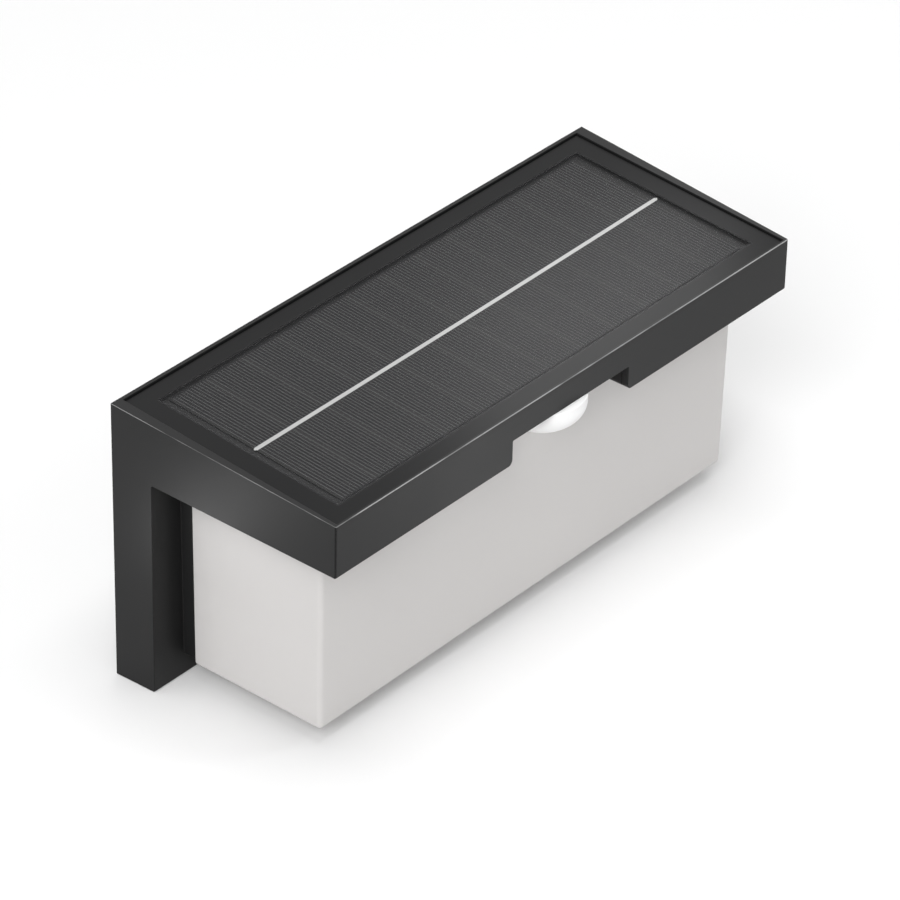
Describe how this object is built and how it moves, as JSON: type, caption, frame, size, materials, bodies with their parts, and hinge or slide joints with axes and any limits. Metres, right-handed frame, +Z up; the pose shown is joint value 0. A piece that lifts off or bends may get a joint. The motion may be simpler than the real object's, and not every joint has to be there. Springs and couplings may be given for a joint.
{
  "type": "solar fence light",
  "caption": "Wall or fence light with a sloping solar canopy on a moulded inverted-L housing, an opal box diffuser below it and a domed motion sensor lens in a notch in the lip.",
  "frame": {"origin": "midway between the entry holes of the two keyholes, on the face that lies against the wall", "axes": "+X along the light, +Y into the wall, +Z up"},
  "size_m": [0.2, 0.0802, 0.089],
  "materials": {
    "black_plastic": "satin",
    "foam": "matte",
    "panel_board": "gloss",
    "cell": "gloss",
    "tinned_copper": "satin",
    "panel_cover": "satin",
    "opal_plastic": "satin",
    "silicone": "matte",
    "screw_steel": "satin",
    "lens_plastic": "satin",
    "spring_steel": "satin",
    "sensor_can": "satin",
    "green_board": "gloss",
    "white_board": "gloss",
    "white_plastic": "gloss",
    "led_package": "gloss",
    "battery_wrap": "gloss",
    "chip_plastic": "matte",
    "button_rubber": "matte",
    "lead_sheath": "satin"
  },
  "bodies": {
    "body": {"housing": "black_plastic", "panel_tape": "foam", "panel_board": "panel_board", "cell_strips": "cell", "tab_ribbon": "tinned_copper", "panel_cover": "panel_cover", "diffuser": "opal_plastic", "diffuser_seal": "silicone", "canopy_floor": "black_plastic", "floor_screws": "screw_steel", "pir_lens": "lens_plastic", "lens_retainer": "spring_steel", "pir_sensor": "sensor_can", "sensor_board": "green_board", "sensor_screws": "screw_steel", "back_plate": "black_plastic", "back_gasket": "silicone", "back_screws": "screw_steel", "reflector": "white_plastic", "led_board": "white_board", "leds": "led_package", "led_screws": "screw_steel", "battery_cell": "battery_wrap", "battery_contacts": "spring_steel", "battery_pad": "foam", "control_board": "green_board", "board_parts": "chip_plastic", "board_screws": "screw_steel", "mode_switch": "chip_plastic", "button_seal": "silicone", "panel_lead": "lead_sheath", "led_lead": "lead_sheath", "sensor_lead": "lead_sheath", "battery_leads": "lead_sheath"},
    "button": {"mode_button": "button_rubber", "switch_plunger": "white_plastic"}
  },
  "joints": [
    {"name": "button_press", "type": "slide", "parent": "body", "child": "button", "axis": [0, -1, 0], "range_m": [0, 0.001], "stiffness_N_per_m": 1500, "springref_m": -0.0003}
  ]
}
